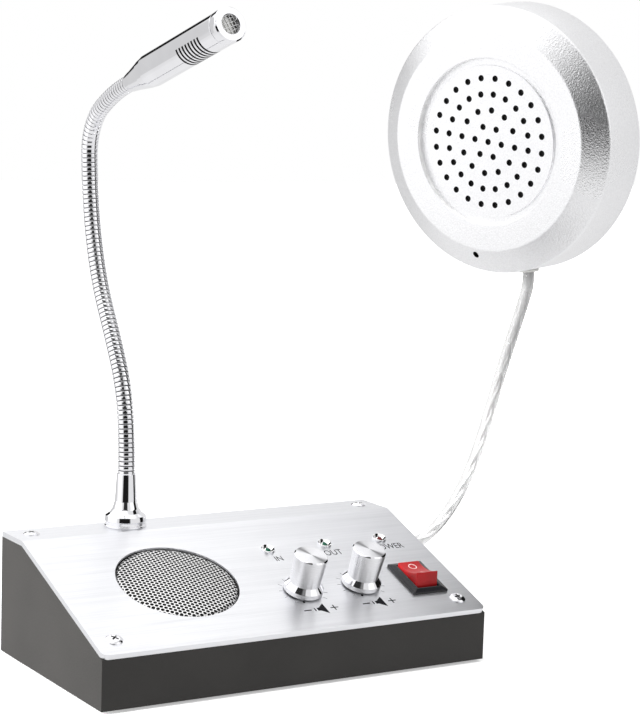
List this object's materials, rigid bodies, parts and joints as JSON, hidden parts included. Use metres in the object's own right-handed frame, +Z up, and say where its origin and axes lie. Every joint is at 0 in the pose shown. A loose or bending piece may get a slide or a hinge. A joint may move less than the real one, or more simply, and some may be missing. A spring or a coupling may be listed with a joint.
{
  "type": "teller window intercom",
  "caption": "Counter intercom: sloped desk unit with speaker, volume knobs, rocker switch and gooseneck microphone, and a round outer speaker unit on a cable.",
  "frame": {"origin": "middle of the desk unit's rubber base pad, on the counter", "axes": "+X along the width of the desk unit, to the right of the person who uses it; +Y away from that person; +Z up"},
  "size_m": [0.277, 0.1736, 0.263],
  "materials": {
    "casing_steel": "satin charcoal powder coat",
    "plated_steel": "zinc plated",
    "pad_rubber": "matt",
    "brushed_aluminium": "brushed, anodised",
    "grille_black": "matt black",
    "perforated_steel": "punched, bright",
    "cone_paper": "matt",
    "magnet": "dull",
    "chrome": "polished",
    "polished_aluminium": "polished",
    "lamp_green": "translucent",
    "lamp_red": "translucent",
    "switch_black": "satin",
    "rocker_red": "gloss",
    "brass_tab": "bare",
    "board_green": "solder mask",
    "parts_black": "matt",
    "outer_aluminium": "fine satin",
    "grommet_rubber": "matt pale",
    "foam": "closed cell foam",
    "cable_pvc": "clear over pale conductors",
    "plug_nickel": "moulded, with nickel pin"
  },
  "bodies": {
    "desk_unit": {"amplifier_board": "board_green", "base_pad": "pad_rubber", "base_plate": "casing_steel", "base_screws": "plated_steel", "board_components": "parts_black", "board_screws": "plated_steel", "board_standoffs": "plated_steel", "casing": "casing_steel", "dc_inlet": "parts_black", "desk_speaker_basket": "grille_black", "desk_speaker_cone": "cone_paper", "desk_speaker_magnet": "magnet", "face_plate": "brushed_aluminium", "face_plate_screws": "chrome", "gooseneck_1": "chrome", "gooseneck_ferrule": "chrome", "gooseneck_nut": "plated_steel", "incoming_lamp": "lamp_green", "incoming_volume_pot": "plated_steel", "lamp_bezels": "chrome", "outer_cable": "cable_pvc", "outer_cable_coil": "cable_pvc", "outer_cable_grommet": "grommet_rubber", "outer_cable_plug": "plug_nickel", "outer_foam_ring": "foam", "outer_grille_disc": "outer_aluminium", "outer_mic_capsule": "plated_steel", "outer_rear_plate": "plated_steel", "outer_rear_screws": "plated_steel", "outer_shell": "outer_aluminium", "outer_speaker_basket": "grille_black", "outer_speaker_cone": "cone_paper", "outer_speaker_magnet": "magnet", "outer_unit_socket": "parts_black", "outgoing_lamp": "lamp_green", "outgoing_volume_pot": "plated_steel", "power_lamp": "lamp_red", "power_switch_frame": "switch_black", "power_switch_tabs": "brass_tab", "socket_nuts": "plated_steel", "speaker_grille": "perforated_steel", "speaker_retainer": "plated_steel", "speaker_retainer_nuts": "plated_steel", "volume_nuts": "plated_steel"},
    "incoming_knob": {"incoming_volume_knob": "polished_aluminium", "incoming_volume_shaft": "plated_steel"},
    "outgoing_knob": {"outgoing_volume_knob": "polished_aluminium", "outgoing_volume_shaft": "plated_steel"},
    "rocker": {"power_switch_rocker": "rocker_red"},
    "neck_2": {"gooseneck_2": "chrome"},
    "neck_3": {"gooseneck_3": "chrome"},
    "neck_4": {"gooseneck_4": "chrome"},
    "neck_5": {"gooseneck_5": "chrome"},
    "neck_6": {"gooseneck_6": "chrome"},
    "neck_7": {"gooseneck_7": "chrome"},
    "neck_8": {"gooseneck_8": "chrome", "mic_body": "chrome", "mic_front_ring": "chrome", "mic_mesh": "perforated_steel", "mic_capsule": "plated_steel"}
  },
  "joints": [
    {"name": "incoming_volume", "type": "hinge", "parent": "desk_unit", "child": "incoming_knob", "pos_m": [0.0127, -0.02244, 0.03012], "axis": [0, -0.3459, 0.9383], "range_deg": [-140, 140]},
    {"name": "outgoing_volume", "type": "hinge", "parent": "desk_unit", "child": "outgoing_knob", "pos_m": [0.0389, -0.02244, 0.03012], "axis": [0, -0.3459, 0.9383], "range_deg": [-140, 140]},
    {"name": "power_rocker", "type": "hinge", "parent": "desk_unit", "child": "rocker", "pos_m": [0.0651, -0.02275, 0.02894], "axis": [1, 0, 0], "range_deg": [0, 30]},
    {"name": "neck_bend_1", "type": "hinge", "parent": "desk_unit", "child": "neck_2", "pos_m": [-0.03458, 0.0372, 0.09024], "axis": [0.9985, 0.0541, 0], "range_deg": [-20, 20]},
    {"name": "neck_sway_1", "type": "hinge", "parent": "neck_2", "child": "neck_3", "pos_m": [-0.03492, 0.04357, 0.11098], "axis": [-0.0483, 0.8913, -0.4509], "range_deg": [-25, 25]},
    {"name": "neck_bend_2", "type": "hinge", "parent": "neck_3", "child": "neck_4", "pos_m": [-0.03549, 0.05403, 0.13009], "axis": [0.9985, 0.0541, 0], "range_deg": [-20, 20]},
    {"name": "neck_bend_3", "type": "hinge", "parent": "neck_4", "child": "neck_5", "pos_m": [-0.03598, 0.06312, 0.14986], "axis": [0.9985, 0.0541, 0], "range_deg": [-20, 20]},
    {"name": "neck_sway_2", "type": "hinge", "parent": "neck_5", "child": "neck_6", "pos_m": [-0.03627, 0.06846, 0.17097], "axis": [-0.0533, 0.9848, -0.165], "range_deg": [-25, 25]},
    {"name": "neck_bend_4", "type": "hinge", "parent": "neck_6", "child": "neck_7", "pos_m": [-0.03639, 0.07075, 0.19263], "axis": [0.9985, 0.0541, 0], "range_deg": [-30, 12]},
    {"name": "neck_bend_5", "type": "hinge", "parent": "neck_7", "child": "neck_8", "pos_m": [-0.03587, 0.06116, 0.21109], "axis": [0.9985, 0.0541, 0], "range_deg": [-30, 12]}
  ]
}
